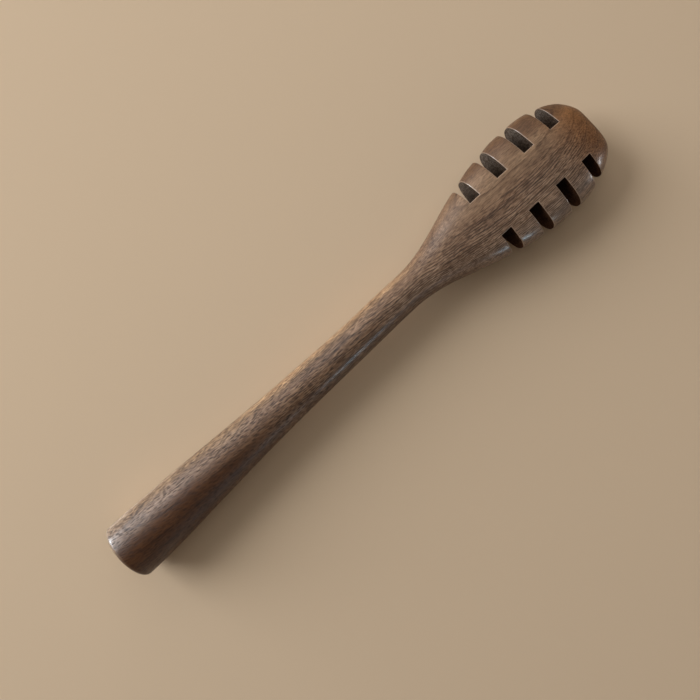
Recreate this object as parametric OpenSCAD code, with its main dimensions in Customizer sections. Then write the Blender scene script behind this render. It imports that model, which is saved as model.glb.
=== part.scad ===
// Honey dipper, shaped in one piece from a walnut board. It lies on its side, with +X from the
// butt to the tip and +Z up. The oval body is skinned through rings across its long axis, and
// straight saw cuts from both edges of the head leave a row of teeth on a central spine.

/* [Body] */
// Length from the butt face to the tip
body_length = 165; // [155:1:180]
// Thickness of the board that it is cut from, which the butt keeps
board_t = 16.5; // [14:0.5:20]

/* [Handle] */
// Width across the butt
butt_w = 16.3; // [13:0.1:20]
// Width across the neck, the narrowest place
neck_w = 9.4; // [8:0.1:12]
// Thickness of the neck
neck_t = 11; // [8:0.5:13]
// Distance from the butt to the neck
neck_x = 99; // [90:1:105]
// How far along the handle the swelling of the butt reaches
butt_reach = 46; // [35:1:55]
// How firmly the swelling of the butt dies away, higher for a straighter grip
butt_power = 1.8; // [1.2:0.1:3]
// Radius of the rounded edge round the butt face
rim_r = 1.2; // [0.5:0.1:3]

/* [Head] */
// Width that the head swells towards, a little over its widest place
head_w = 30; // [24:0.1:34]
// Thickness that the head swells towards, a little over its thickest place
head_t = 16.8; // [14:0.1:21]
// Length of the flare from the neck out to the cheeks, seen from above
flare_reach = 26; // [22:0.5:30]
// Length of the flare from the neck to the belly, seen from the side
belly_reach = 24; // [20:0.5:28]
// How firmly both flares turn outwards, higher for a later and steeper shoulder
flare_power = 2.2; // [2:0.1:3]
// Distance from the tip at which the end starts to round off
tip_length = 24; // [20:0.5:30]
// Roundness of the tip from above, 2 for an ellipse and more for a blunter end
tip_plan = 4.25; // [2:0.25:5]
// Roundness of the tip from the side
tip_side = 2.6; // [2:0.1:4]

/* [Teeth] */
// Number of saw cuts in each edge of the head
kerf_count = 4; // [2:1:4]
// Width of a saw cut
kerf_w = 3.2; // [2.4:0.1:4]
// Distance from one cut to the next, centre to centre
kerf_pitch = 9.2; // [8:0.1:9.5]
// Distance from the tip to the centre of the first cut
first_kerf = 9.4; // [9:0.1:12]
// Width of the spine left between the two rows of cuts
spine_w = 11.6; // [8:0.1:16]
// Angle by which the cuts lean off square to the long axis, as sawn by hand
kerf_skew = 1.5; // [-3:0.5:3]

/* [Hidden] */

// Facets: the sides of a ring, and the rings in each stretch of the body.
ring_sides = 48;
rim_rings = 4;
handle_rings = 20;
flare_rings = 22;
tip_rings = 12;
// Share of a ring's true size that its flat sides reach, with a flat side lying undermost.
flat_reach = cos(180 / ring_sides);
// How the rings crowd towards the blunt tip.
tip_crowding = 1.6;
// What the skin runs on past the butt, to be sawn off square.
waste = 1;
// A cut clears the head by this much outside its cheek, belly and crown.
clearance = 2;

tip_x = body_length - tip_length;

// Share of a swelling that is left at a distance from where it is full.
function left(distance, reach, power) = exp(-pow(max(distance, 0) / reach, power));

// Size across the body at x: full at the butt, least at the neck and full again in the head.
function swell(x, butt, neck, head, reach) =
    neck + (butt - neck) * left(x, butt_reach, butt_power)
        + (head - neck) * (1 - left(x - neck_x, reach, flare_power));

// Share of that size where the end rounds off: a superellipse that closes at the tip.
function rounded_off(x, roundness) =
    pow(1 - pow(max(x - tip_x, 0) / tip_length, 2), 1 / roundness);

// What the rounded edge of the butt takes off all round at x.
function rim_inset(x) = rim_r - sqrt(pow(rim_r, 2) - pow(max(rim_r - max(x, 0), 0), 2));

function half_w(x) =
    swell(x, butt_w, neck_w, head_w, flare_reach) / 2 * rounded_off(x, tip_plan) - rim_inset(x);
function half_t(x) =
    swell(x, board_t, neck_t, head_t, belly_reach) / 2 * rounded_off(x, tip_side) - rim_inset(x);

// Places of the rings along the body, from the waste behind the butt to the last before the tip.
stations = concat(
    [-waste],
    [for (i = [0:rim_rings - 1]) rim_r * (1 - cos(90 * i / rim_rings))],
    [for (i = [0:handle_rings - 1]) rim_r + (neck_x - rim_r) * i / handle_rings],
    [for (i = [0:flare_rings - 1]) neck_x + (tip_x - neck_x) * i / flare_rings],
    [for (i = [0:tip_rings - 1])
        tip_x + tip_length * sin(90 * (1 - pow(1 - i / tip_rings, tip_crowding)))]
);

// Height of the long axis over the surface that the belly and the butt rest on.
axis_z = flat_reach * max([for (x = stations) half_t(x)]);

// One ring across the body at x. Its corners are spaced by equal steps of the ellipse's own angle.
function ring(x) = [
    for (i = [0:ring_sides - 1])
        let (turn = 360 * (i + 0.5) / ring_sides)
            [x, half_w(x) * cos(turn), half_t(x) * sin(turn)]
];

// Skins the rings in order, with a flat start and a point at the end. Seen from outside, the
// corners of each face run clockwise.
module skin(places, end_x) {
    last = len(places) * ring_sides;
    sides = [
        for (k = [0:len(places) - 2], i = [0:ring_sides - 1])
            let (a = k * ring_sides, j = (i + 1) % ring_sides)
                [a + i, a + ring_sides + i, a + ring_sides + j, a + j]
    ];
    nose = [
        for (i = [0:ring_sides - 1])
            [last - ring_sides + i, last, last - ring_sides + (i + 1) % ring_sides]
    ];
    start = [for (i = [0:ring_sides - 1]) i];
    polyhedron(
        points = concat([for (x = places) each ring(x)], [[end_x, 0, 0]]),
        faces = concat([start], sides, nose)
    );
}

// The body as shaped, before the head is sawn: an oval skin with a flat, square-cut butt.
module shaped_body() {
    difference() {
        skin(stations, body_length);
        translate([-2 * waste, -board_t, -board_t])
            cube([2 * waste, 2 * board_t, 2 * board_t]);
    }
}

// One saw cut, centred on the origin, from the spine out past the cheek on the +Y side.
module kerf() {
    depth = head_w / 2 - spine_w / 2 + clearance;
    height = max(board_t, head_t) + 2 * clearance;
    translate([-kerf_w / 2, spine_w / 2, -height / 2])
        cube([kerf_w, depth, height]);
}

// Both rows of cuts. The far row is the near one turned half round, so each pair lies in line.
module kerfs() {
    for (k = [0:kerf_count - 1], half_turn = [0, 180])
        translate([body_length - first_kerf - k * kerf_pitch, 0, 0])
            rotate([0, 0, kerf_skew + half_turn])
                kerf();
}

module dipper() {
    color("#6f4e3a")
        translate([-body_length / 2, 0, axis_z])
            difference() {
                shaped_body();
                kerfs();
            }
}

dipper();
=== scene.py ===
# %% [markdown]
# # A walnut honey dipper
# The real one is a single length of walnut, 165 mm long: a handle with a square-cut butt, a slim
# neck, and a flattened oval head that a saw has cut from both edges into teeth on a spine. It was
# shaped by hand, sanded and rubbed with oil. This script builds that surface, its wood and a plain
# studio round it. Lengths are in millimetres until a mesh is made, where MM turns them to metres.

# %% The fixed frame
from math import cos, pi, radians, sin, tan

import bmesh
import bpy
import numpy as np
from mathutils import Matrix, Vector


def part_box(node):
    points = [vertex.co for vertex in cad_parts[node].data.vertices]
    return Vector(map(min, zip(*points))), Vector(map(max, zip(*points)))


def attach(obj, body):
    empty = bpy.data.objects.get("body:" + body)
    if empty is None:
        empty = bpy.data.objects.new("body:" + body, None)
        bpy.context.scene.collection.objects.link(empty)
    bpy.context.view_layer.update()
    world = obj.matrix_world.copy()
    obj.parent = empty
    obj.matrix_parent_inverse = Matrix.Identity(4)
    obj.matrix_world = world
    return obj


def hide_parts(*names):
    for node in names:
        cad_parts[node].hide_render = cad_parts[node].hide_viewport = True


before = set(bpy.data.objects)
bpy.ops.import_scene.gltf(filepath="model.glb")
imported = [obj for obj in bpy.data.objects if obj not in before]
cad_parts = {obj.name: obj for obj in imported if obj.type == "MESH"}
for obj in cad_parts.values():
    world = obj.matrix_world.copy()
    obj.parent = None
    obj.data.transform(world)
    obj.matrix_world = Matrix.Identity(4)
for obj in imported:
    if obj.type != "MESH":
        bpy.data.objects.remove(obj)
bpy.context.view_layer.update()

MM = 0.001
low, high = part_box("dipper")
print("frame box in mm:", [round(side / MM, 2) for side in high - low])

# %% [markdown]
# ## The sizes that drive the shape
# A shaped handle has no straight line in it, so a table of radii would say nothing about why it
# looks right. Here each part of the outline is one swelling or one rounding, with its own size: how
# wide, how far it reaches and how firmly it turns. x runs from the butt to the tip.

# %% Driving sizes
BODY_LENGTH = (high.x - low.x) / MM
BOARD_T = 16.5
BUTT_W = 16.3
NECK_W = 9.4
NECK_T = 11.0
NECK_X = 99.0
BUTT_REACH = 46.0
BUTT_POWER = 1.8
RIM_R = 1.2
HEAD_W = 30.0
HEAD_T = 16.8
FLARE_REACH = 26.0
BELLY_REACH = 24.0
FLARE_POWER = 2.2
TIP_LENGTH = 24.0
TIP_PLAN = 4.25
TIP_SIDE = 2.6
TIP_X = BODY_LENGTH - TIP_LENGTH

KERF_COUNT = 4
KERF_W = 3.2
KERF_PITCH = 9.2
FIRST_KERF = 9.4
SPINE_W = 11.6
SKEW = radians(1.5)

# The frame's rings have 48 flat sides, which reach this share of the true oval.
FLAT_REACH = cos(pi / 48)

# %% [markdown]
# ## The outline as formulas
# A swelling dies away as a bell curve does, but with a power of its own: 2 gives the soft bell of a
# turned handle, and less gives a straighter grip. The tip is a superellipse. Its power is high from
# above, for a blunt end, and low from the side, where the head thins out to a soft edge.

# %% Outline formulas
def left(distance, reach, power):
    """Share of a swelling that is left: e to the minus of (distance / reach) to the power."""
    return np.exp(-((np.maximum(distance, 0) / reach) ** power))


def swell(x, butt, neck, head, reach):
    """Size across the body: the neck's, plus what the butt adds, plus what the head adds."""
    at_butt = (butt - neck) * left(x, BUTT_REACH, BUTT_POWER)
    at_head = (head - neck) * (1 - left(x - NECK_X, reach, FLARE_POWER))
    return neck + at_butt + at_head


def rounded_off(x, roundness):
    """Superellipse at the tip: (1 - v squared) to the power 1 / roundness, v from 0 to 1."""
    v = np.clip((x - TIP_X) / TIP_LENGTH, 0, 1)
    return (1 - v * v) ** (1 / roundness)


def rim_inset(x):
    """Quarter circle of radius RIM_R: what the rounded edge of the butt takes off at x."""
    rest = np.clip(RIM_R - np.maximum(x, 0), 0, None)
    return RIM_R - np.sqrt(RIM_R**2 - rest**2)


def half_width(x):
    """Half the width at x: half the swelling, times the rounding of the tip, less the rim."""
    full = swell(x, BUTT_W, NECK_W, HEAD_W, FLARE_REACH) / 2
    return FLAT_REACH * (full * rounded_off(x, TIP_PLAN) - rim_inset(x))


def half_thickness(x):
    """Half the thickness at x, from the same terms with the sizes of the side view."""
    full = swell(x, BOARD_T, NECK_T, HEAD_T, BELLY_REACH) / 2
    return FLAT_REACH * (full * rounded_off(x, TIP_SIDE) - rim_inset(x))


FINE_STEPS = 6601
AXIS_Z = (low.z + high.z) / 2 / MM

fine_x = np.linspace(0, BODY_LENGTH, FINE_STEPS)
widest, thickest = 2 * half_width(fine_x).max(), 2 * half_thickness(fine_x).max()
print("widest", round(widest, 2), "mm, thickest", round(thickest, 2), "mm")

# %% [markdown]
# ## One surface for the whole body
# The skin is an oval at every place along the body, so two numbers name a point on it: u, how far
# along, and the turn round the oval. On the handle the oval is an ellipse. The head keeps more of
# the square board that it came from, so there its oval is squarer, as the ends of its teeth show.
# The saw cuts lean by one and a half degrees. Rings that lean with them put a row of points exactly
# along each wall, so the cuts need no boolean. The lean fades out at the neck and at the tip. A
# point's x depends on its y and the other way round, and a few passes from a first guess settle
# both.

# %% A point on the skin
HALF_KERF = KERF_W / 2 / cos(SKEW)
KERF_X = BODY_LENGTH - FIRST_KERF - KERF_PITCH * np.arange(KERF_COUNT)[::-1]
# How far the eased edge of a mouth reaches, over the skin and down the wall.
EASE = 0.2
SQUARENESS = 0.55
PASSES = 5
LEAST_WIDTH = 0.01
EIGHTH_RING = cos(pi / 4)


def smooth(x, start, stop):
    """Smooth step, 3 s squared - 2 s cubed, from 0 at start to 1 at stop."""
    s = np.clip((x - start) / (stop - start), 0, 1)
    return s * s * (3 - 2 * s)


def lean(u):
    """How far the ring at u leans back for each millimetre towards +Y."""
    among_cuts = smooth(u, NECK_X, KERF_X[0] - 2 * KERF_W)
    before_tip = 1 - smooth(u, KERF_X[-1] + KERF_W, BODY_LENGTH)
    return tan(SKEW) * among_cuts * before_tip


def oval_power(x):
    """Power of the superellipse across the body at x: 2 on the handle, and more in the head."""
    return 2 + SQUARENESS * smooth(x, NECK_X, KERF_X[0])


def flattened(x, wave):
    """A sine or cosine made square: its size to the power 2 / oval power, with its own sign."""
    return np.sign(wave) * abs(wave) ** (2 / oval_power(x))


def skin_point(u, turn):
    """Point on the skin, with y = half width times the flattened cos(turn), z = half thickness times
    the flattened sin(turn) above the long axis, and x = u less y times the lean."""
    x = u + 0 * turn
    for _ in range(PASSES):
        y = half_width(x) * flattened(x, np.cos(turn))
        x = u - y * lean(u)
    return np.stack([x, y, half_thickness(x) * flattened(x, np.sin(turn))], axis=-1)


def spine_turn(u, side, inwards):
    """Turn, away from the cheek, at which the ring at u meets the spine's edge. side is 1 for +Y.
    It is an eighth of the ring at least, so at the narrow tip all four runs of columns are alike."""
    y = SPINE_W / 2 - inwards
    x = u - side * y * lean(u)
    share = np.minimum(y / np.maximum(half_width(x), LEAST_WIDTH), 1)
    return np.arccos(np.minimum(share ** (oval_power(x) / 2), EIGHTH_RING))


# %% [markdown]
# ## Rows and columns
# The grid is finest where the eye looks: round the rim of the butt, among the cuts and over the
# blunt tip, where equal steps of the superellipse's own angle would leave a hole in the middle. Each
# ring has four runs of columns, two over the cheeks and two over the spine's top and underside, so
# a column always runs along the inner end of every cut.

# %% Rows and columns of the skin
CHEEK_STEPS = 40
CROWN_STEPS = 24
KERF_STEPS = 8
RIM_ROWS = 8
TIP_ROWS = 44
TIP_CROWDING = 2.2
HANDLE_STEP = 0.8
HEAD_STEP = 0.5


def run(start, stop, step):
    """Even places from start up to, but not with, stop, about step apart."""
    count = max(1, round((stop - start) / step))
    return start + (stop - start) * np.arange(count) / count


def tip_run(start):
    """Places to the very tip: x = TIP_X + TIP_LENGTH sin(angle), the angle crowding to 90."""
    first = np.arcsin((start - TIP_X) / TIP_LENGTH)
    crowd = 1 - (1 - np.linspace(0, 1, TIP_ROWS)) ** TIP_CROWDING
    return TIP_X + TIP_LENGTH * np.sin(first + (pi / 2 - first) * crowd)


wall_low, wall_high = KERF_X - HALF_KERF - EASE, KERF_X + HALF_KERF + EASE
rim_rows = RIM_R * (1 - np.cos(pi / 2 * np.arange(RIM_ROWS) / RIM_ROWS))
rows = [rim_rows, run(RIM_R, NECK_X, HANDLE_STEP)]
kerf_rows = []
start = NECK_X
for kerf_low, kerf_high in zip(wall_low, wall_high):
    rows.append(run(start, kerf_low, HEAD_STEP))
    kerf_rows.append(sum(len(part) for part in rows))
    rows.append(run(kerf_low, kerf_high, (kerf_high - kerf_low) / KERF_STEPS))
    start = kerf_high
rows.append(tip_run(start))
row_u = np.concatenate(rows)


def ring_turns(u):
    """Turns of every column of the rings at u: four even runs that meet at the spine's edges."""
    near, far = spine_turn(u, 1, EASE), spine_turn(u, -1, EASE)
    stops = [
        (-near, near, CHEEK_STEPS),
        (near, pi - far, CROWN_STEPS),
        (pi - far, pi + far, CHEEK_STEPS),
        (pi + far, 2 * pi - near, CROWN_STEPS),
    ]
    runs = [a[:, None] + (b - a)[:, None] * np.arange(n) / n for a, b, n in stops]
    return np.concatenate(runs, axis=1)


turns = ring_turns(row_u)
print(len(row_u), "rings of", turns.shape[1], "columns; the cuts start at rows", kerf_rows)

# %% [markdown]
# ## A shell made of grids
# Every surface of the dipper is a grid of points: the skin, the eased edge round each mouth, the two
# walls of a cut and its inner end. Each grid is made with its border on its neighbour's, and at the
# end the doubles are merged into one closed shell. A grid keeps a number per point for the polish
# on an eased edge, and the finish of its faces.

# %% Grids and the shell that gathers them
SKIN, SAWN = 0, 1


class Shell:
    """Points, faces, polish and finish of the grids added so far."""

    def __init__(self):
        self.points, self.faces, self.polish, self.finish = [], [], [], []
        self.count = 0

    def add(self, grid, finish, polish=0.0, closed=False, keep=None):
        """Adds a grid of points. closed joins its last column to its first, and keep says which of
        its faces stay."""
        height, width = grid.shape[:2]
        index = self.count + np.arange(height * width).reshape(height, width)
        if closed:
            index = np.concatenate([index, index[:, :1]], axis=1)
        corners = [index[:-1, :-1], index[:-1, 1:], index[1:, 1:], index[1:, :-1]]
        quads = np.stack(corners, axis=-1)
        quads = quads.reshape(-1, 4) if keep is None else quads[keep]
        self.points.append(grid.reshape(-1, 3))
        self.faces.append(quads)
        self.polish.append(np.broadcast_to(polish, (height, width)).ravel())
        self.finish.append(np.full(len(quads), finish))
        self.count += height * width


shell = Shell()

# %% [markdown]
# ## The skin
# The butt is sawn square, so its face is the first ring drawn in to its middle. Its rounded rim is
# burnished most on the +Y side, where it lies in the palm. The tip needs no such cap, because its
# last ring already has no size. Where a cut opens, the faces of the cheek are left out.

# %% The skin, with the butt face and the gaps for the cuts
FACE_ROWS = 8
RIM_LEAST = 0.15
RIM_POLISH = 1.05
PALM_SIDE = (-2, 4)

body = skin_point(row_u[:, None], turns)
face = body[:1] * np.linspace(0, 1, FACE_ROWS, endpoint=False)[:, None, None]
skin = np.concatenate([face, body])
rim_polish = np.zeros(skin.shape[:2])
rim_rise = np.sin(pi * np.arange(RIM_ROWS) / RIM_ROWS)
palm_side = smooth(body[RIM_ROWS, :, 1], *PALM_SIDE)
# The rim's polish also pales its colour in the finish, partly as a painted highlight on the window
# side.
rim_polish[FACE_ROWS:FACE_ROWS + RIM_ROWS] = np.outer(rim_rise, RIM_LEAST + RIM_POLISH * palm_side)

cheeks = np.zeros(turns.shape[1], bool)
cheeks[:CHEEK_STEPS] = True
cheeks[CHEEK_STEPS + CROWN_STEPS:2 * CHEEK_STEPS + CROWN_STEPS] = True
kept = np.ones((len(skin) - 1, turns.shape[1]), bool)
for first in kerf_rows:
    rows_cut = slice(FACE_ROWS + first, FACE_ROWS + first + KERF_STEPS)
    kept[rows_cut] &= ~cheeks
shell.add(skin, SKIN, polish=rim_polish, closed=True, keep=kept)
print("skin:", shell.count, "points")

# %% [markdown]
# ## The cuts
# A saw leaves a crisp mouth, and sandpaper then takes the edge off it. Round each mouth runs a narrow
# band that bends from the skin into the cut: a curve from a point on the skin to a point down the
# wall, drawn towards the sharp corner that would be there. The walls are flat, from that band to the
# spine. The inner end is flat too, and shares its corner lines with both walls.

# %% One saw cut
EASE_STEPS = 4
WALL_STEPS = 5
EASE_WAVER = 0.22
# Waves of the eased edge round a mouth: size, number of waves, and shift from one cut to the next.
EASE_WAVES = [(1.0, 3, 1.0), (0.6, 7, 2.4)]


def mouth_path(middle, side):
    """Function for a ring round a mouth. Its places are (share of the kerf's width, share of the
    cheek): down the wall on the butt side, along the underside, up the wall on the tip side and
    back along the top."""
    down = np.linspace(1, -1, CHEEK_STEPS, endpoint=False)
    along = np.linspace(-1, 1, KERF_STEPS, endpoint=False)
    width = np.concatenate([0 * down - 1, along, 0 * down + 1, -along])
    cheek = np.concatenate([down, 0 * along - 1, -down, 0 * along + 1])

    def on_skin(inwards):
        """Places along the body and points of the skin, this far into the wood from the mouth."""
        u = middle + width * (HALF_KERF + inwards)
        turn = cheek * spine_turn(u, side, inwards)
        return u, skin_point(u, turn if side > 0 else pi - turn)

    return on_skin


def saw_cut(middle, side, number):
    """Adds one cut. The eased edge is the quadratic curve (1-w)^2 P + 2w(1-w) E + w^2 W, from the
    skin point P past the sharp corner E to the wall point W."""
    on_skin = mouth_path(middle, side)
    _, skin_edge = on_skin(EASE)
    u, sharp = on_skin(0.0)
    spine_y = side * SPINE_W / 2
    heart = np.stack([u - spine_y * tan(SKEW), 0 * u + spine_y, 0 * u], axis=-1)
    reach = np.linalg.norm(heart - sharp, axis=-1, keepdims=True)
    place = 2 * pi * np.arange(len(u)) / len(u)
    waver = sum(size * np.sin(waves * place + shift * number) for size, waves, shift in EASE_WAVES)
    drop = EASE * (1 + EASE_WAVER * waver)[:, None]
    down_wall = sharp + (heart - sharp) * drop / reach

    w = np.linspace(0, 1, EASE_STEPS + 1)[:, None, None]
    band = (1 - w) ** 2 * skin_edge + 2 * w * (1 - w) * sharp + w**2 * down_wall
    shell.add(band, SKIN, polish=np.sin(pi * w[:, :, 0]), closed=True)

    top, bottom = CHEEK_STEPS, CHEEK_STEPS + KERF_STEPS
    ring = np.concatenate([down_wall, down_wall[:1]])
    near_wall, underside = ring[:top + 1], ring[top:bottom + 1]
    far_wall, crown = ring[bottom:bottom + top + 1][::-1], ring[bottom + top:][::-1]
    for arc in (near_wall, far_wall):
        chord = np.linspace(arc[0], arc[-1], len(arc))
        share = np.linspace(0, 1, WALL_STEPS + 1)[:, None, None]
        shell.add((1 - share) * arc + share * chord, SAWN)
    shell.add(np.linspace(crown, underside, CHEEK_STEPS + 1), SAWN)


for number, middle in enumerate(KERF_X):
    saw_cut(middle, 1, 2 * number)
    saw_cut(middle, -1, 2 * number + 1)
print(2 * KERF_COUNT, "cuts, shell of", shell.count, "points")

# %% [markdown]
# ## Shaped by hand
# A sanded curve is never quite its formula. The neck and the butt of this one wander to either side
# by a quarter of a millimetre, and sanding took a little off both cheeks and off the shoulders of the
# tip, most on the +Y side. Apart from the wander, which lies where the body is slim, all of it takes
# wood away, so the shape stays inside the frame.

# %% The hand of the maker
NECK_WANDER = 0.25
BUTT_WANDER = -0.25
CHEEK_LOSS = 0.35
SHOULDER_LOSS = 0.7
TIP_LOSS = 1.2
# Where each of them lies: the middle and reach of a bell, or the start and end of a smooth step.
NECK_BELL = (NECK_X - 3, 10)
BUTT_BELL = (8, 18)
CHEEK_RISE = (NECK_X + 12, NECK_X + 30)
SHOULDER_BELL = (BODY_LENGTH - 3, 5)
TIP_BELL = (BODY_LENGTH, 2.5)
TIP_SIDE_RISE = (2, 9)
OFF_THE_MIDDLE = (3, 11)


def bell(x, middle, reach):
    """Bell curve, e to the minus of ((x - middle) / reach) squared."""
    return np.exp(-(((x - middle) / reach) ** 2))


def sideways(points):
    """How far each point goes towards +Y: the wander of the middle line, less what is sanded off the
    cheeks and the shoulders on either side of it, and off the end on the +Y side."""
    x, y, _ = points.T
    wander = NECK_WANDER * bell(x, *NECK_BELL) + BUTT_WANDER * bell(x, *BUTT_BELL)
    cheeks = CHEEK_LOSS * smooth(x, *CHEEK_RISE)
    shoulders = SHOULDER_LOSS * bell(x, *SHOULDER_BELL)
    end = TIP_LOSS * bell(x, *TIP_BELL) * smooth(y, *TIP_SIDE_RISE)
    return wander - end - np.sign(y) * smooth(abs(y), *OFF_THE_MIDDLE) * (cheeks + shoulders)


# %% [markdown]
# ## Hollows and crowns
# Sandpaper over a fingertip leaves long, shallow hollows of a few hundredths of a millimetre, which
# make a highlight waver. Two slow waves, one along the body and one that winds round it, give them
# with no noise map. Beside every cut the skin is drawn in more, which crowns each tooth by about a
# tenth of a millimetre, so that each catches its own glint.

# %% Hollows, crowns and the finished points
HOLLOW_SHARE = 0.003
EVEN_PART, WAVY_PART = 0.9, 0.5
WAVE_X, WAVE_Y, WAVE_SWAY, SWAY_X = 7.5, 5.0, 1.7, 19.0
WINDING_X, WINDING_Y, WINDING_Z = 11.0, 0.6, 3.5
CROWN_SHARE = 0.015
CROWN_REACH = KERF_PITCH / 3
CROWN_RISE = (SPINE_W / 2, SPINE_W / 2 + 3)


def hollows(points):
    """Share by which a point is drawn in: two slow sine waves multiplied, and never nothing, and
    more beside every cut, which crowns the teeth."""
    x, y, z = points.T
    along = np.sin(x / WAVE_X + WAVE_SWAY * np.sin(x / SWAY_X) + y / WAVE_Y)
    round_it = np.cos(x / WINDING_X - z / WINDING_Z + WINDING_Y * y)
    beside_cuts = sum(bell(x, middle, CROWN_REACH) for middle in KERF_X)
    crowned = CROWN_SHARE * beside_cuts * smooth(abs(y), *CROWN_RISE)
    return HOLLOW_SHARE * (EVEN_PART + WAVY_PART * along * round_it) + crowned


points = np.concatenate(shell.points)
drawn_in = hollows(points)
aside = sideways(points)
points[:, 1:] *= 1 - drawn_in[:, None]
points[:, 1] += aside
points += [-BODY_LENGTH / 2, 0, AXIS_Z]
print("hollows and crowns up to", round(float((drawn_in * HEAD_W / 2).max()), 3), "mm")
print("sideways from", round(float(aside.min()), 2), "to", round(float(aside.max()), 2), "mm")

# %% [markdown]
# ## From grids to a mesh
# The numbers go into the mesh in one go, and bmesh merges the doubles along the seams and turns all
# faces outwards. The volume is a good test: a face turned inside out or a missing wall shows in it.
# Two attributes then tell the finish where it is: edge_polish on the eased mouths, and end_grain,
# how squarely the surface cuts across the grain, which runs along x.

# %% The mesh of the dipper
WELD = 0.002
SHARP_ANGLE = radians(42)


def mesh_from(shell, points, name):
    """Mesh of a shell, merged, facing outwards and smooth but for its real corners."""
    mesh = bpy.data.meshes.new(name)
    mesh.from_pydata(points * MM, [], np.concatenate(shell.faces).tolist())
    mesh.polygons.foreach_set("material_index", np.concatenate(shell.finish).astype(np.int32))
    polish = mesh.attributes.new("edge_polish", "FLOAT", "POINT")
    polish.data.foreach_set("value", np.concatenate(shell.polish).astype(np.float32))
    merged = bmesh.new()
    merged.from_mesh(mesh)
    bmesh.ops.remove_doubles(merged, verts=merged.verts, dist=WELD * MM)
    bmesh.ops.recalc_face_normals(merged, faces=merged.faces)
    volume = merged.calc_volume(signed=True)
    open_edges = sum(not edge.is_manifold for edge in merged.edges)
    merged.to_mesh(mesh)
    merged.free()
    mesh.polygons.foreach_set("use_smooth", np.ones(len(mesh.polygons), bool))
    mesh.set_sharp_from_angle(angle=SHARP_ANGLE)
    print(name, len(mesh.polygons), "faces,", round(volume / MM**3), "mm3,", open_edges, "open edges")
    return mesh


mesh = mesh_from(shell, points, "walnut_dipper")
normals = np.empty(len(mesh.vertices) * 3, np.float32)
mesh.vertex_normals.foreach_get("vector", normals)
end_grain = mesh.attributes.new("end_grain", "FLOAT", "POINT")
end_grain.data.foreach_set("value", np.abs(normals[::3]))

dipper = bpy.data.objects.new("walnut_dipper", mesh)
bpy.context.scene.collection.objects.link(dipper)

# %% [markdown]
# ## Helpers for the finishes
# A finish is a graph of small steps. Each helper adds a step and wires it in the same line, so a
# graph reads as a list of what happens to a value on its way to the surface.

# %% Node helpers
def fill(tree, socket, value):
    """Links the value to the socket if it is another node's output, and else sets it there."""
    if isinstance(value, bpy.types.NodeSocket):
        tree.links.new(value, socket)
    else:
        socket.default_value = value


def add(tree, kind, inputs, **settings):
    """Adds a node, sets it, and links or fills each input. Returns its first output in use."""
    node = tree.nodes.new("ShaderNode" + kind)
    for name, value in settings.items():
        setattr(node, name, value)
    for name, value in inputs.items():
        fill(tree, node.inputs[name], value)
    return next(socket for socket in node.outputs if socket.enabled)


def math(tree, operation, a, b=0.0, clamp=False):
    """Adds one Math node on a and b."""
    return add(tree, "Math", {0: a, 1: b}, operation=operation, use_clamp=clamp)


def product(tree, value, *others):
    """The value multiplied by all the others."""
    for other in others:
        value = math(tree, "MULTIPLY", value, other)
    return value


def swing(tree, value, size):
    """A value from 0 to 1 made to swing round 0, by half the size each way."""
    return product(tree, math(tree, "SUBTRACT", value, 0.5), size)


def between(tree, value, low, high, to_low=0.0, to_high=1.0):
    """Smooth step of value from low to high, from to_low to to_high."""
    inputs = {"Value": value, "From Min": low, "From Max": high}
    inputs.update({"To Min": to_low, "To Max": to_high})
    return add(tree, "MapRange", inputs, interpolation_type="SMOOTHSTEP")


def blend(tree, share, a, b, kind="MIX"):
    """Mixes colour b over colour a by share."""
    node = tree.nodes.new("ShaderNodeMix")
    node.data_type = "RGBA"
    node.blend_type = kind
    for name, value in {"Factor": share, "A": a, "B": b}.items():
        fill(tree, next(s for s in node.inputs if s.name == name and s.enabled), value)
    return next(socket for socket in node.outputs if socket.enabled)


def axes_of(tree, vector):
    """The x, y and z of a vector."""
    node = tree.nodes.new("ShaderNodeSeparateXYZ")
    tree.links.new(vector, node.inputs[0])
    return node.outputs["X"], node.outputs["Y"], node.outputs["Z"]


def stretched(tree, vector, x, y, z):
    """The vector with each axis multiplied."""
    return add(tree, "Mapping", {"Vector": vector, "Scale": (x, y, z)})


def noise(tree, vector, cells, detail=2.0, roughness=0.5):
    """Noise from 0 to 1. cells says how many of its cells lie in a millimetre of each axis."""
    inputs = {"Vector": stretched(tree, vector, *cells), "Scale": 1.0}
    inputs.update({"Detail": detail, "Roughness": roughness})
    return add(tree, "TexNoise", inputs)


# %% [markdown]
# ## Groups
# A group packs a graph into one node with named sockets, as a function packs lines of code. Wood is
# the same wherever it is cut, so its grain, its rings, its pores and its tones are a group each. One
# more lays them over each other, and makes the walnut that both finishes share. All of them take
# places in millimetres.

# %% Helpers for node groups
def new_group(name, inputs, outputs):
    """Node group with named sockets. Returns it, what it is given and what it puts out."""
    tree = bpy.data.node_groups.new(name, "ShaderNodeTree")
    kinds = {"V": "NodeSocketVector", "F": "NodeSocketFloat", "C": "NodeSocketColor"}
    for label, kind in inputs:
        tree.interface.new_socket(label, in_out="INPUT", socket_type=kinds[kind])
    for label, kind in outputs:
        tree.interface.new_socket(label, in_out="OUTPUT", socket_type=kinds[kind])
    return tree, tree.nodes.new("NodeGroupInput").outputs, tree.nodes.new("NodeGroupOutput").inputs


def use(tree, group, inputs):
    """Places a group in a tree and returns its outputs by name."""
    node = tree.nodes.new("ShaderNodeGroup")
    node.node_tree = group
    for name, value in inputs.items():
        fill(tree, node.inputs[name], value)
    return node.outputs


# %% [markdown]
# ## The run of the grain
# A tree doesn't grow as straight as a board is sawn. On this piece the grain drifts to one side all
# the way along, and more so towards the butt. Pores, rings and streaks follow one another in real
# wood, so they are all laid out in one space that bends as the grain does. It has two faces: the
# board's own sides, and the growth layers, which lie tilted in the board.

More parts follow.
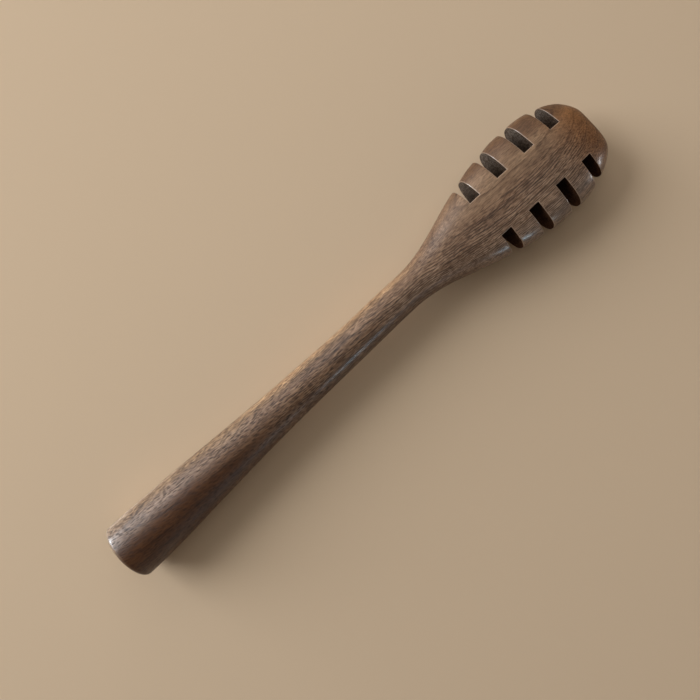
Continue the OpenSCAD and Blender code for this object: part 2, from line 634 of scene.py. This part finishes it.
# %% Group: grain space
GRAIN_DRIFT = 0.066
GRAIN_BEND = 0.0009
BEND_FROM = -5.0
LEVEL_FROM = 30.0
LAYER_TILT = radians(33.8)
WAVER_CELLS, WAVER_SIZE = (0.045, 0.12, 0.12), 1.8


def grain_space():
    """Group: Grain is the place along and across the bent grain, where y + drift x - bend (x short
    of BEND_FROM) squared, with a slow waver, takes the place of y. Past LEVEL_FROM, in the head, it
    drifts no further. Layers is the same place, turned about x until its last part counts through
    the growth layers."""
    sockets = [("Grain", "V"), ("Layers", "V")]
    tree, given, result = new_group("grain space", [("Vector", "V")], sockets)
    x, y, z = axes_of(tree, given["Vector"])
    short = math(tree, "MINIMUM", math(tree, "SUBTRACT", x, BEND_FROM), 0.0)
    bend = product(tree, short, short, GRAIN_BEND)
    drift = product(tree, math(tree, "MINIMUM", x, LEVEL_FROM), GRAIN_DRIFT)
    waver = swing(tree, noise(tree, given["Vector"], WAVER_CELLS, 3.0, 0.6), WAVER_SIZE)
    across = math(tree, "SUBTRACT", math(tree, "ADD", y, drift), bend)
    across = math(tree, "ADD", across, waver)
    up = math(tree, "SUBTRACT", z, AXIS_Z)
    grain = add(tree, "CombineXYZ", {"X": x, "Y": across, "Z": up})
    layers = add(tree, "Mapping", {"Vector": grain, "Rotation": (LAYER_TILT, 0, 0)})
    tree.links.new(grain, result["Grain"])
    tree.links.new(layers, result["Layers"])
    return tree


GRAIN = grain_space()
print(GRAIN.name, "has", len(GRAIN.nodes), "nodes")

# %% [markdown]
# ## Growth rings
# Each year leaves a layer that darkens slowly and then ends in a thin dark line. On this piece the
# years are two and a half millimetres apart. Where the rounded head cuts through the layers, their
# lines run round the tip as nested bows.

# %% Group: growth rings
RING_WIDTH = 2.52
RING_AT = 0.16
RIPPLE_CELLS, RIPPLE_SIZE = (0.1, 0.5, 0.1), 0.7
# Shares of a year between which its dark line comes and goes.
LINE_COMES, LINE_GOES = (0.86, 0.97), (1.0, 0.985)


def growth_rings():
    """Group: the count through the layers, over the ring width, gives the year. Year is the share
    of it gone by, and Line is 1 on the thin dark line that ends it."""
    tree, given, result = new_group("growth rings", [("Layers", "V")], [("Year", "F"), ("Line", "F")])
    _, _, depth = axes_of(tree, given["Layers"])
    ripple = swing(tree, noise(tree, given["Layers"], RIPPLE_CELLS, 3.0), RIPPLE_SIZE)
    count = math(tree, "SUBTRACT", math(tree, "ADD", depth, ripple), RING_AT)
    year = math(tree, "FRACT", math(tree, "DIVIDE", count, RING_WIDTH))
    comes, goes = between(tree, year, *LINE_COMES), between(tree, year, *LINE_GOES)
    tree.links.new(year, result["Year"])
    tree.links.new(product(tree, comes, goes), result["Line"])
    return tree


RINGS = growth_rings()
print(RINGS.name, "has", len(RINGS.nodes), "nodes")

# %% [markdown]
# ## Pores and streaks
# Walnut's pores are fine tubes along the grain. Cut lengthwise they show as dark flecks a couple of
# millimetres long, and cut across as dots. Cells in a space that is squeezed along the grain give
# both from one pattern: each tube is the middle of a long, thin cell. Between them the fibres
# themselves show as a finer, softer hatching. Rows of small pores lie in the layers, and show as
# thin, nearly even lines wherever the surface meets the layers at a slant.

# %% Group: pores
PORE_SPACING = 0.34
PORE_LENGTH = 1.9
# Share of a pore's own width that is fully dark.
PORE_CORE = 0.45
FIBRE_CELLS, FIBRE_EDGE = (0.50, 3.9, 3.9), (0.40, 0.60)
ROW_SPACING = 0.37
ROW_EDGE = (0.0, 0.9)
ROW_WAVE_CELLS, ROW_WAVES = (0.06, 0.4, 0.4), 2.6
BREAK_CELLS, BREAK_EDGE = (0.08, 1.2, 2.2), (0.30, 0.54)


def pores():
    """Group: Fleck is 1 within Share of the middle of a cell PORE_LENGTH long and PORE_SPACING
    across. Fibre is noise drawn out along the grain. Streak is 1 on the rows of pores, where a
    sine of the count through the layers over ROW_SPACING is high, broken by more noise."""
    sockets = [("Grain", "V"), ("Layers", "V"), ("Share", "F")]
    results = [("Fleck", "F"), ("Fibre", "F"), ("Streak", "F")]
    tree, given, result = new_group("pores", sockets, results)
    squeeze = (1 / PORE_LENGTH, 1 / PORE_SPACING, 1 / PORE_SPACING)
    cells = stretched(tree, given["Grain"], *squeeze)
    middle = add(tree, "TexVoronoi", {"Vector": cells, "Scale": 1.0, "Randomness": 1.0})
    inner = product(tree, given["Share"], PORE_CORE)
    tree.links.new(between(tree, middle, given["Share"], inner), result["Fleck"])
    hatching = noise(tree, given["Grain"], FIBRE_CELLS, roughness=0.6)
    tree.links.new(between(tree, hatching, *FIBRE_EDGE), result["Fibre"])
    _, _, depth = axes_of(tree, given["Layers"])
    waves = product(tree, noise(tree, given["Layers"], ROW_WAVE_CELLS), ROW_WAVES)
    count = math(tree, "ADD", math(tree, "DIVIDE", depth, ROW_SPACING), waves)
    rows = math(tree, "SINE", product(tree, count, 2 * pi))
    breaks = between(tree, noise(tree, given["Layers"], BREAK_CELLS), *BREAK_EDGE)
    tree.links.new(product(tree, between(tree, rows, *ROW_EDGE), breaks), result["Streak"])
    return tree


PORES = pores()
print(PORES.name, "has", len(PORES.nodes), "nodes")

# %% [markdown]
# ## The colour of the wood
# Walnut is never one brown. The parts of its colour are kept apart here, so that each can be judged
# by itself. First come the tones of the board: plain brown; dark heartwood deep in the layers on one
# side of the handle, with painted shade in it on the side away from the window; the paler flank
# opposite, partly painted light and sheen; painted light and grey sheen on the -Y side of the neck
# and head; ruddy cheeks on the head and a golden tip. Each is laid over the ones before it, and fades
# in between a place where it starts and one where it is full. A painted map could do the same, but a
# few named edges are easier to move.

# %% Tones of the board
PLAIN = (0.305, 0.184, 0.108, 1)
# Painted light and grey sheen: the -Y side of the head, turned from the window, made paler and
# greyer.
GREYISH_PAINTED_LIGHT = (0.415, 0.280, 0.188, 1)
TAN = (0.345, 0.215, 0.124, 1)
RUDDY = (0.184, 0.094, 0.045, 1)
GOLDEN = (0.335, 0.154, 0.058, 1)
# Painted light: the -Y side of the neck and flare made paler, where the lamps leave it darker.
NECK_PAINTED_LIGHT = (0.445, 0.303, 0.206, 1)
# Dark heartwood, made darker still as painted shade on the top and -Y side of the handle.
HEART_AND_SHADE = (0.122, 0.049, 0.017, 1)
# Partly paler wood, partly painted light and cool sheen on the handle's flank towards the window.
FLANK_AND_LIGHT = (0.440, 0.296, 0.178, 1)
# Partly paler wood, partly a painted warm reflection of the bright floor on the neck's flank.
NECK_FLANK_AND_REFLECTION = (0.680, 0.450, 0.262, 1)
# Partly paler wood, partly a painted cool sheen of the window on the butt's flank.
BUTT_FLANK_AND_SHEEN = (0.72, 0.58, 0.46, 1)

# Each tone over the plain one, and its edges: along what, where it starts and where it is full.
ZONES = [
    (GREYISH_PAINTED_LIGHT, [("y", 1.0, -7.0), ("x", 0.0, 20.0)]),
    (TAN, [("y", 1.0, 5.0), ("x", 30.0, 50.0)]),
    (RUDDY, [("y", 7.0, 12.0), ("x", 30.0, 50.0)]),
    (GOLDEN, [("x", 66.0, 80.0)]),
    (RUDDY, [("y", 5.5, 10.0), ("x", 56.0, 68.0)]),
    (NECK_PAINTED_LIGHT, [("y", 2.0, -2.0), ("x", 4.0, 14.0), ("x", 36.0, 24.0)]),
    (HEART_AND_SHADE, [("depth", 3.5, 8.0), ("x", -16.0, -48.0)]),
    (FLANK_AND_LIGHT, [("depth", 4.0, -0.5), ("x", 16.0, -14.0)]),
    (NECK_FLANK_AND_REFLECTION, [("depth", 2.4, -0.8), ("x", -45.0, -20.0), ("x", 28.0, 12.0)]),
    (BUTT_FLANK_AND_SHEEN, [("depth", 0.5, -3.5), ("x", -45.0, -78.0)]),
]
SWAY_CELLS, SWAY_SIZE = (0.06, 0.21, 0.21), 6.0


def board_tones():
    """Group: colour of the wood without its figure, with the painted light and shade of some zones.
    depth = z - 0.67 y counts through the tilted layers, from the pale flank, partly painted light,
    up into the dark heartwood, partly painted shade, whose share is put out. Slow noise sways it."""
    sockets = [("Color", "C"), ("Heart and shade", "F")]
    tree, given, result = new_group("board tones", [("Vector", "V")], sockets)
    x, y, z = axes_of(tree, given["Vector"])
    sway = swing(tree, noise(tree, given["Vector"], SWAY_CELLS, 3.0, 0.55), SWAY_SIZE)
    up = math(tree, "ADD", math(tree, "SUBTRACT", z, AXIS_Z), sway)
    depth = math(tree, "SUBTRACT", up, product(tree, y, tan(LAYER_TILT)))
    place = {"x": x, "y": y, "depth": depth}

    color = PLAIN
    for tone, edges in ZONES:
        shares = [between(tree, place[along], start, full) for along, start, full in edges]
        share = product(tree, *shares)
        color = blend(tree, share, color, tone)
        # The share of the dark heartwood zone, which also holds painted shade, goes out for the
        # figure.
        if tone is HEART_AND_SHADE:
            tree.links.new(share, result["Heart and shade"])
    tree.links.new(color, result["Color"])
    return tree


TONES = board_tones()
print(len(ZONES), "zones,", len(TONES.nodes), "nodes")

# %% [markdown]
# ## Figure over tone
# Figure is the same wood, only darker. So the clouds, the years and their lines, the streaks, the
# fibres and the flecks don't have colours of their own: each multiplies what is under it by a
# shade, as far as its share goes. What is dark is also open, so the same shares say how deep the
# surface dips there and how much oil stands on it.

# %% Group: walnut
SHADE = (0.42, 0.34, 0.28, 1)
PORE_SHADE = (0.25, 0.23, 0.23, 1)
PORE_SHARE = 0.5
# Cells of two noises, and ranges as start, stop, and the shares that they give there.
CLOUD_CELLS, CLOUD_SHARE = (0.10, 0.28, 0.28), (0.40, 0.70, 0.0, 0.28)
BLOTCH_CELLS, BLOTCH_SHARE = (0.22, 0.55, 0.55), (0.38, 0.62, 0.0, 0.35)
YEAR_SHARE = (0.2, 0.95, 0.0, 0.18)
LINE_SHARE = (0.35, 0.6, 0.15, 0.75)
OPEN_GRAIN = (0.1, 0.9, 1.0, 0.55)
SHALLOW = 0.5


def walnut():
    """Group: the wood's colour, its height over the sanded surface and how much oil it shows. The
    tone is shaded by soft clouds, the year, its line, the streaks, the fibres and the flecks in
    turn. Dense heartwood, whose zone also holds painted shade, shows less of the last three."""
    sockets = [("Vector", "V"), ("Flecks", "F"), ("Fibres", "F"), ("Streaks", "F")]
    results = [("Color", "C"), ("Height", "F"), ("Oil", "F")]
    tree, given, result = new_group("walnut", sockets, results)
    space = use(tree, GRAIN, {"Vector": given["Vector"]})
    grain, layers = space["Grain"], space["Layers"]
    rings = use(tree, RINGS, {"Layers": layers})
    pore = use(tree, PORES, {"Grain": grain, "Layers": layers, "Share": PORE_SHARE})
    tones = use(tree, TONES, {"Vector": given["Vector"]})
    open_grain = between(tree, tones["Heart and shade"], *OPEN_GRAIN)
    clouds = noise(tree, grain, CLOUD_CELLS, 4.0, 0.6)
    blotches = noise(tree, grain, BLOTCH_CELLS, 3.0, 0.6)
    line = product(tree, rings["Line"], between(tree, clouds, *LINE_SHARE))
    fleck, fibre, streak = [
        product(tree, pore[kind], given[kind + "s"], open_grain)
        for kind in ("Fleck", "Fibre", "Streak")
    ]

    color = tones["Color"]
    for share, shade in (
        (between(tree, clouds, *CLOUD_SHARE), SHADE),
        (between(tree, blotches, *BLOTCH_SHARE), SHADE),
        (between(tree, rings["Year"], *YEAR_SHARE), SHADE),
        (line, SHADE),
        (streak, PORE_SHADE),
        (fibre, SHADE),
        (fleck, PORE_SHADE),
    ):
        color = blend(tree, share, color, shade, "MULTIPLY")

    sunk = math(tree, "ADD", fleck, product(tree, streak, SHALLOW))
    sunk = math(tree, "ADD", sunk, product(tree, fibre, SHALLOW))
    tree.links.new(color, result["Color"])
    tree.links.new(product(tree, sunk, -1.0), result["Height"])
    tree.links.new(math(tree, "SUBTRACT", 1.0, sunk, clamp=True), result["Oil"])
    return tree


WALNUT = walnut()
print(WALNUT.name, "has", len(WALNUT.nodes), "nodes")

# %% [markdown]
# ## Two finishes
# The outside is sanded and oiled to a satin, and inside the cuts the wood is as the saw left it.
# Both are the same walnut, so both materials place the same group and differ in what they do with
# it. The shader stays in the material itself, where the gloss of each is set.

# %% Helpers for materials
def new_material(name):
    """Empty node material with a Principled shader. Returns it, its tree and the shader's inputs."""
    material = bpy.data.materials.new(name)
    material.use_nodes = True
    tree = material.node_tree
    return material, tree, tree.nodes["Principled BSDF"].inputs


def object_place(tree):
    """Object coordinates in millimetres, and their x and y by themselves."""
    place = tree.nodes.new("ShaderNodeTexCoord").outputs["Object"]
    place = stretched(tree, place, 1 / MM, 1 / MM, 1 / MM)
    x, y, _ = axes_of(tree, place)
    return place, x, y


def attribute(tree, name):
    """A number that the mesh carries."""
    node = tree.nodes.new("ShaderNodeAttribute")
    node.attribute_name = name
    return node.outputs["Fac"]


# %% [markdown]
# ## The oiled outside
# The oil lies over the wood as a thin coat: the wood below gives a broad, dull sheen, and the coat
# gives small bright glints. Hands and sanding have burnished it most round the neck, on the teeth
# of the -Y side, at the very end of the butt and along every edge. Over an open pore the film is
# thinner. The flecks and streaks of the grain also change along the piece, as the surface cuts
# the layers at another slant.

# %% Oiled walnut
# Paler colour of polished edges: partly worn wood, partly a painted highlight on the eased edges.
RUBBED_AND_LIT_EDGE = (0.45, 0.33, 0.24, 1)
EDGE_TINT, EDGE_COAT, EDGE_GLOSS = 0.5, 0.8, 0.10
# Ranges: start, stop, and what they give there if that isn't 0 and 1. Along is x and across is y.
SIDE_GRAIN = (0.45, 0.14)
FLECKS_ALONG = (35.0, -30.0, 0.4, 1.0)
STREAKS_ACROSS = (4.0, -1.0, 0.12, 1.0)
STREAKS_ALONG = (-40.0, 10.0, 0.25, 1.0)
CALM_ALONG, CALM_ACROSS = (25.0, 45.0), (-1.0, 5.0)
CALM_FIBRES = (0.0, 1.0, 0.85, 0.40)
WOOD_ROUGHNESS = (0.0, 1.0, 0.70, 0.50)
RUB_CELLS, RUB_SHARE = (0.06, 0.15, 0.15), (0.38, 0.62, 0.06, 0.24)
NECK_SHINE_X, NECK_SHINE = -2.0, (16.0, 2.0, 0.0, 0.30)
TEETH_ALONG, TEETH_ACROSS, TEETH_SHINE = (30.0, 36.0), (-6.0, -10.0), 0.75
BUTT_SHINE = (-76.5, -82.0, 0.0, 0.35)
FILM = (0.0, 1.0, 0.45, 1.0)
OIL_DIP = 0.08 * MM


def grain_figure(tree, x, y):
    """How strongly the flecks, fibres and streaks show. Flecks are weaker on the head, streaks are
    weaker towards the butt and on the +Y side, with none on end grain, and fibres are calmer on the
    +Y side of the head."""
    side_grain = between(tree, attribute(tree, "end_grain"), *SIDE_GRAIN)
    across, along = between(tree, y, *STREAKS_ACROSS), between(tree, x, *STREAKS_ALONG)
    calm = product(tree, between(tree, x, *CALM_ALONG), between(tree, y, *CALM_ACROSS))
    return {
        "Flecks": between(tree, x, *FLECKS_ALONG),
        "Fibres": between(tree, calm, *CALM_FIBRES),
        "Streaks": product(tree, across, side_grain, along),
    }


def oil_coat(tree, place, x, y, oil, polish):
    """Weight of the coat: rubbed patches plus the burnished neck, teeth and butt, times the film
    that the pores leave, plus the polish of the edges."""
    rubbed = between(tree, noise(tree, place, RUB_CELLS), *RUB_SHARE)
    from_neck = math(tree, "ABSOLUTE", math(tree, "SUBTRACT", x, NECK_SHINE_X))
    along, across = between(tree, x, *TEETH_ALONG), between(tree, y, *TEETH_ACROSS)
    teeth = product(tree, along, across, TEETH_SHINE)
    burnished = math(tree, "ADD", between(tree, from_neck, *NECK_SHINE), teeth)
    burnished = math(tree, "ADD", burnished, between(tree, x, *BUTT_SHINE))
    coat = product(tree, between(tree, oil, *FILM), math(tree, "ADD", rubbed, burnished))
    return math(tree, "ADD", coat, product(tree, polish, EDGE_COAT), clamp=True)


def oiled_walnut():
    """Satin oiled wood, glossier where an edge is burnished, and paler there: partly worn wood,
    partly a painted highlight.
    """
    material, tree, shader = new_material("oiled walnut")
    place, x, y = object_place(tree)
    polish = attribute(tree, "edge_polish")
    wood = use(tree, WALNUT, {"Vector": place, **grain_figure(tree, x, y)})
    # Polished edges turn paler, partly as a painted highlight.
    color = blend(tree, product(tree, polish, EDGE_TINT), wood["Color"], RUBBED_AND_LIT_EDGE)
    tree.links.new(color, shader["Base Color"])
    roughness = between(tree, wood["Oil"], *WOOD_ROUGHNESS)
    roughness = math(tree, "SUBTRACT", roughness, product(tree, polish, EDGE_GLOSS))
    tree.links.new(roughness, shader["Roughness"])
    tree.links.new(oil_coat(tree, place, x, y, wood["Oil"], polish), shader["Coat Weight"])
    shader["Coat Roughness"].default_value = 0.28
    shader["Specular IOR Level"].default_value = 0.33
    bump = add(tree, "Bump", {"Height": wood["Height"], "Strength": 0.6, "Distance": OIL_DIP})
    tree.links.new(bump, shader["Normal"])
    print(material.name, "has", len(tree.nodes), "nodes")
    return material


# %% [markdown]
# ## The sawn inside
# A saw blade leaves end grain that no one sands: greyer and rougher, with the pores as dots and
# faint lines from the strokes of the blade. On the -Y side the cuts run into red-brown heartwood,
# which is painted darker there as the shade on the side away from the window.
# The wood is painted darker towards the spine, as painted shade deep in each cut.

# %% Sawn walnut
SAWN_GREY = (0.232, 0.205, 0.178, 1)
# Red-brown heartwood of the -Y walls, made darker as painted shade on the side away from the window.
SAWN_HEART_AND_SHADE = (0.092, 0.028, 0.010, 1)
BARE_SHARE = 0.7
SIDES = (1.0, -1.0)
STROKE_CELLS, STROKE_SHARE = (0.4, 3.0, 0.06), (0.35, 0.65, 0.0, 0.4)
STROKE_HEIGHT = 0.7
MOTTLE_CELLS, MOTTLE_SHARE = (1.6, 1.6, 1.6), (0.42, 0.58, 0.0, 0.85)
# Painted shade: the walls are darkened towards the spine, deep in each cut.
PAINTED_SPINE_SHADE = (12.5, 6.6, 0.0, 0.85)
SAWN_FIGURE = {"Flecks": 0.9, "Fibres": 0.65, "Streaks": 0.3}
SAWN_DIP = 0.05 * MM


def sawn_walnut():
    """Bare sawn end grain inside the cuts, with blade lines along z every third of a millimetre.
    It is greyish on the +Y side, red-brown heartwood with painted shade in it on the other, and
    painted darker near the spine as shade."""
    material, tree, shader = new_material("sawn walnut")
    place, _, y = object_place(tree)
    wood = use(tree, WALNUT, {"Vector": place, **SAWN_FIGURE})
    strokes, mottle = noise(tree, place, STROKE_CELLS), noise(tree, place, MOTTLE_CELLS)
    # The -Y walls take the dark red-brown heartwood colour, partly painted shade.
    sawn = blend(tree, between(tree, y, *SIDES), SAWN_GREY, SAWN_HEART_AND_SHADE)
    sawn = blend(tree, BARE_SHARE, wood["Color"], sawn)
    off_middle = math(tree, "ABSOLUTE", y)
    # The last of these shades is painted shade, darker towards the spine.
    shades = [(strokes, STROKE_SHARE), (mottle, MOTTLE_SHARE), (off_middle, PAINTED_SPINE_SHADE)]
    for value, reach in shades:
        sawn = blend(tree, between(tree, value, *reach), sawn, SHADE, "MULTIPLY")
    tree.links.new(sawn, shader["Base Color"])
    shader["Roughness"].default_value = 0.85
    shader["Specular IOR Level"].default_value = 0.12
    height = math(tree, "ADD", wood["Height"], product(tree, strokes, STROKE_HEIGHT))
    bump = add(tree, "Bump", {"Height": height, "Strength": 0.6, "Distance": SAWN_DIP})
    tree.links.new(bump, shader["Normal"])
    print(material.name, "has", len(tree.nodes), "nodes")
    return material


# %% [markdown]
# ## The dipper in its frame
# The faces of the shell already name their finish, SKIN or SAWN, by the order in which the two go on
# here. The dipper is one piece of wood with nothing that moves, so it rides on the only body there is
# and replaces its plainer CAD self.

# %% The finishes go on the dipper
mesh.materials.append(oiled_walnut())
mesh.materials.append(sawn_walnut())
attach(dipper, "root")
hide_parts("dipper")
print(dipper.name, "has", len(mesh.materials), "materials on", len(mesh.polygons), "faces")

# %% [markdown]
# ## A plain studio
# The floor runs up into a low wall in one sweep, so no edge shows behind the dipper. It is drawn as
# a profile carried round a circle: flat, then a quarter circle, then straight up. The lamps light
# only the middle, so from the side the wall would look dark. Its paint therefore glows, and more so
# far from the dipper. Only the camera sees that glow, so it puts no light on the wood.

# %% Floor and backdrop
# Sizes of the studio are in metres.
FLOOR_R = 1.5
COVE_R = 0.4
WALL_TOP = 1.1
COVE_STEPS, TURN_STEPS = 17, 96
FLOOR_COLOR = (0.66, 0.51, 0.36, 1)
WALL_GLOW = (0.44, 0.35, 0.25, 1)
GLOW_FROM = 0.4


def sweep():
    """Floor profile carried round: radius and height along it, turned through the full circle."""
    bend = np.linspace(0, pi / 2, COVE_STEPS)
    radius = np.concatenate([[0, FLOOR_R / 2], FLOOR_R + COVE_R * np.sin(bend), [FLOOR_R + COVE_R]])
    height = np.concatenate([[0, 0], COVE_R * (1 - np.cos(bend)), [WALL_TOP]])
    turn = np.linspace(0, 2 * pi, TURN_STEPS + 1)[:-1]
    ring = np.stack([np.outer(radius, np.cos(turn)), np.outer(radius, np.sin(turn))], axis=-1)
    return np.concatenate([ring, np.broadcast_to(height[:, None, None], ring.shape[:2] + (1,))], -1)


def floor_paint():
    """Matt paint that glows for the camera alone, from GLOW_FROM up to the foot of the wall."""
    material, tree, shader = new_material("floor paint")
    shader["Base Color"].default_value = FLOOR_COLOR
    shader["Roughness"].default_value = 0.9
    shader["Specular IOR Level"].default_value = 0.0
    shader["Emission Color"].default_value = WALL_GLOW
    place = tree.nodes.new("ShaderNodeTexCoord").outputs["Object"]
    far_off = add(tree, "VectorMath", {0: place}, operation="LENGTH")
    seen = tree.nodes.new("ShaderNodeLightPath").outputs["Is Camera Ray"]
    glow = product(tree, between(tree, far_off, GLOW_FROM, FLOOR_R), seen)
    tree.links.new(glow, shader["Emission Strength"])
    return material


floor_shell = Shell()
floor_shell.add(sweep()[:, ::-1] / MM, SKIN, closed=True)
floor_mesh = mesh_from(floor_shell, np.concatenate(floor_shell.points), "floor")
floor = bpy.data.objects.new("floor", floor_mesh)
bpy.context.scene.collection.objects.link(floor)
floor_mesh.materials.append(floor_paint())

# %% [markdown]
# ## Light
# One broad, low window to the side rakes across the wood, shows its pores and leaves the far side of
# the handle in shade. A soft panel overhead fills the top, and a pale wall carries the window's light
# round. A patch of sky in the window and two small panes opposite give the oil its sheen and glints.
# They are seen in reflections only, so they don't lift the shade. Each lamp is named by where it
# stands: its bearing and height in degrees, its size in degrees, and its share of full daylight.

# %% Lamps and sky
TURN = radians(42.78)
LAMP_DISTANCE = 1.0
# The faint light of the room from all sides.
ROOM_FILL = (0.040, 0.039, 0.037, 1)


def window_light(name, bearing, height, distance, size, share, color, only_glints):
    """Rectangular lamp that faces the dipper. share is the light that it alone gives the floor
    there, as a share of full daylight on white paper. only_glints keeps it to reflections."""
    towards = Vector((cos(bearing) * cos(height), sin(bearing) * cos(height), sin(height)))
    lamp = bpy.data.lights.new(name, "AREA")
    lamp.shape = "RECTANGLE"
    lamp.size, lamp.size_y = size
    lamp.energy = share * (pi * distance) ** 2 / sin(height)
    lamp.color = color
    placed = bpy.data.objects.new(name, lamp)
    placed.location = towards * distance
    placed.rotation_euler = towards.to_track_quat("Z", "Y").to_euler()
    placed.visible_camera = False
    placed.visible_diffuse = not only_glints
    bpy.context.scene.collection.objects.link(placed)


def in_picture(degrees):
    """Bearing of a direction given as an angle in the picture, anticlockwise from its right."""
    return radians(degrees) - TURN


# Name, bearing, height, width and tallness in degrees, share, colour, and whether it only glints.
LAMPS = [
    ("window", 165, 27, 38, 46, 0.50, (0.96, 0.985, 1.0), False),
    ("pale wall", 115, 25, 55, 40, 0.10, (1.0, 0.97, 0.92), False),
    ("overhead", 85, 68, 60, 60, 0.23, (1.0, 0.96, 0.90), False),
    ("lower right", -25, 28, 60, 40, 0.035, (1.0, 0.93, 0.84), False),
    ("sky", 168, 8, 14, 9, 0.150, (0.80, 0.91, 1.0), True),
    ("far pane", -46, 8, 7, 7, 0.016, (0.62, 0.86, 1.0), True),
    ("side pane", 4, 8, 7, 6, 0.020, (0.97, 0.98, 1.0), True),
]
for name, bearing, height, wide, tall, share, color, only_glints in LAMPS:
    turn, rise = in_picture(bearing), radians(height)
    size = [2 * LAMP_DISTANCE * tan(radians(angle) / 2) for angle in (wide, tall)]
    window_light(name, turn, rise, LAMP_DISTANCE, size, share, color, only_glints)
print("lamps on the floor:", round(sum(lamp[5] for lamp in LAMPS if not lamp[7]), 3), "of daylight")

world = bpy.data.worlds.new("sky")
bpy.context.scene.world = world
world.use_nodes = True
world.node_tree.nodes["Background"].inputs["Color"].default_value = ROOM_FILL

# %% [markdown]
# ## The camera
# The dipper is seen from straight above, about over its middle and from only 220 mm over the floor.
# So near, the walls of the cuts show on the sides that face the middle of the picture. The camera is
# turned so that the dipper runs to the upper right. The lens follows from the height and from how
# many pixels a millimetre on the floor takes up.

# %% Camera
# Its place in millimetres: from the butt, off the long axis, and over the floor.
EYE_X = 78.73
EYE_Y = -0.90
EYE_HEIGHT = 220.0
PIXELS = 700
PIXELS_PER_MM = 3.679
NEAREST = 10.0

camera_data = bpy.data.cameras.new("camera")
camera_data.lens = camera_data.sensor_width * PIXELS_PER_MM * EYE_HEIGHT / PIXELS
camera_data.clip_start = NEAREST * MM
camera = bpy.data.objects.new("camera", camera_data)
camera.location = Vector((EYE_X - BODY_LENGTH / 2, EYE_Y, EYE_HEIGHT)) * MM
camera.rotation_euler = (0, 0, -TURN)
bpy.context.scene.collection.objects.link(camera)
bpy.context.scene.camera = camera
bpy.context.scene.view_settings.view_transform = "Standard"
print("lens", round(camera_data.lens, 2), "mm")
